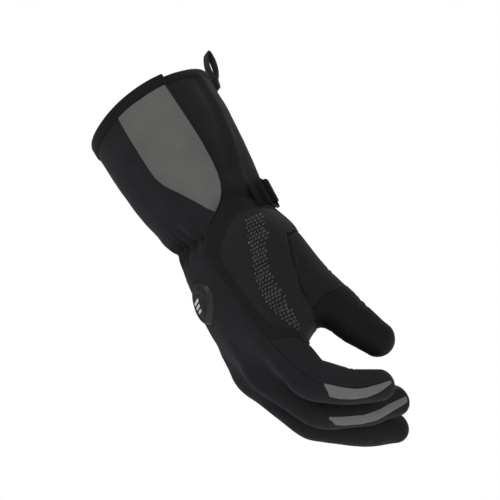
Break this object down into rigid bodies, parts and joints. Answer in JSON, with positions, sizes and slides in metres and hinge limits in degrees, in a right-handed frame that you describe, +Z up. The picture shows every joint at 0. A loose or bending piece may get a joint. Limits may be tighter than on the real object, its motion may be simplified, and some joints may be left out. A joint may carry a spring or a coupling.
{
  "type": "heated glove",
  "caption": "Right-hand heated winter glove with a long flared cuff, closure flap, buckled wrist strap, padded hand back, heat button and curled hollow fingers.",
  "frame": {"origin": "middle of the wearer's wrist, where the glove is held up by the hand and arm in it", "axes": "+Z up the forearm and out of the cuff, -Y the back of the hand, +X the thumb's side"},
  "size_m": [0.1244, 0.1258, 0.3522],
  "materials": {
    "cuff_cloth": "matt black woven softshell of the cuff",
    "softshell": "matt black woven softshell, padded",
    "stretch_cloth": "smooth black stretch cloth",
    "leather": "fine-grained black leather with a slight sheen",
    "webbing": "black woven webbing and binding tape",
    "reflective": "grey reflective fabric",
    "rubber_print": "dark grey printed rubber pad with a raised pattern",
    "rubber": "satin black moulded rubber",
    "plastic": "black moulded plastic"
  },
  "bodies": {
    "root": {"cuff_shell": "cuff_cloth", "cuff_flap": "softshell", "flap_binding": "webbing", "rim_binding": "webbing", "reflective_panel": "reflective", "hand_shell": "softshell", "back_panel": "stretch_cloth", "hand_pad": "rubber_print", "index_finger": "softshell", "middle_finger": "softshell", "ring_finger": "softshell", "little_finger": "softshell", "thumb": "softshell", "index_strip": "reflective", "middle_strip": "reflective", "thumb_patch": "leather", "wrist_strap": "webbing", "button_housing": "rubber", "heat_button": "rubber", "strap_buckle": "plastic", "pull_loop": "webbing"}
  },
  "joints": []
}
